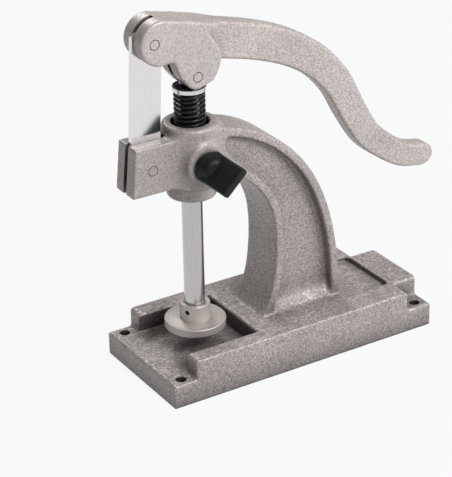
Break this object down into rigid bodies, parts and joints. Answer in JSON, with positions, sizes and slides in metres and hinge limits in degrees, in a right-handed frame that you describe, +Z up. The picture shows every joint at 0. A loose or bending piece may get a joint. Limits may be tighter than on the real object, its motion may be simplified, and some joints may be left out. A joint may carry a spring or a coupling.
{
  "type": "watch crystal press",
  "caption": "Bench press for watch crystals: cast frame with bolt-down base, hand lever and link driving a sprung ram with a pressing disc, and a winged clamp knob.",
  "frame": {"origin": "centre of the four base bolt holes, on the underside of the base", "axes": "+X along the base from the ram end towards the handle end, +Y across the base away from the clamp knob, +Z up along the ram"},
  "size_m": [0.2171, 0.089, 0.2281],
  "materials": {
    "hammertone_casting": "silver-grey hammertone paint on cast metal",
    "bright_steel": "bright ground steel",
    "black_steel": "black oiled steel",
    "turned_aluminium": "turned, satin",
    "black_plastic": "moulded, fine matt grain",
    "brass": "turned"
  },
  "bodies": {
    "frame": {"frame_casting": "hammertone_casting", "link_pin_lower": "hammertone_casting", "return_spring": "black_steel"},
    "ram": {"ram_rod": "bright_steel", "ram_pin": "hammertone_casting", "spring_collar": "bright_steel", "retaining_ring": "black_steel", "pressing_disc": "turned_aluminium", "disc_grub_screw": "black_steel"},
    "lever": {"lever_casting": "hammertone_casting", "link_pin_upper": "hammertone_casting"},
    "link": {"link_bar": "bright_steel"},
    "clamp_pad": {"clamp_pad": "brass"},
    "knob": {"clamp_knob": "black_plastic", "clamp_screw": "bright_steel"}
  },
  "joints": [
    {"name": "ram_slide", "type": "slide", "parent": "frame", "child": "ram", "axis": [0, 0, 1], "range_m": [-0.007, 0.014], "stiffness_N_per_m": 3800, "springref_m": 0.004, "deforming": ["return_spring"]},
    {"name": "lever_hinge", "type": "hinge", "parent": "ram", "child": "lever", "pos_m": [-0.0545, 0, 0.1901], "axis": [0, 1, 0], "range_deg": [-25.8, 12.9]},
    {"name": "link_hinge", "type": "hinge", "parent": "frame", "child": "link", "pos_m": [-0.0854, 0, 0.14], "axis": [0, 1, 0], "range_deg": [-7.7, 3.9]},
    {"name": "clamp_feed", "type": "slide", "parent": "frame", "child": "clamp_pad", "axis": [0, 1, 0], "range_m": [-0.00101, 0.00051]},
    {"name": "clamp_turn", "type": "hinge", "parent": "clamp_pad", "child": "knob", "pos_m": [-0.0545, -0.0232, 0.139], "axis": [0, 1, 0], "range_deg": [-360, 180]}
  ],
  "couplings": [
    {"joint": "lever_hinge", "follows": "ram_slide", "rad_per_m": -32},
    {"joint": "link_hinge", "follows": "ram_slide", "rad_per_m": -9.4},
    {"joint": "clamp_feed", "follows": "clamp_turn", "m_per_rad": 0.00015915}
  ]
}
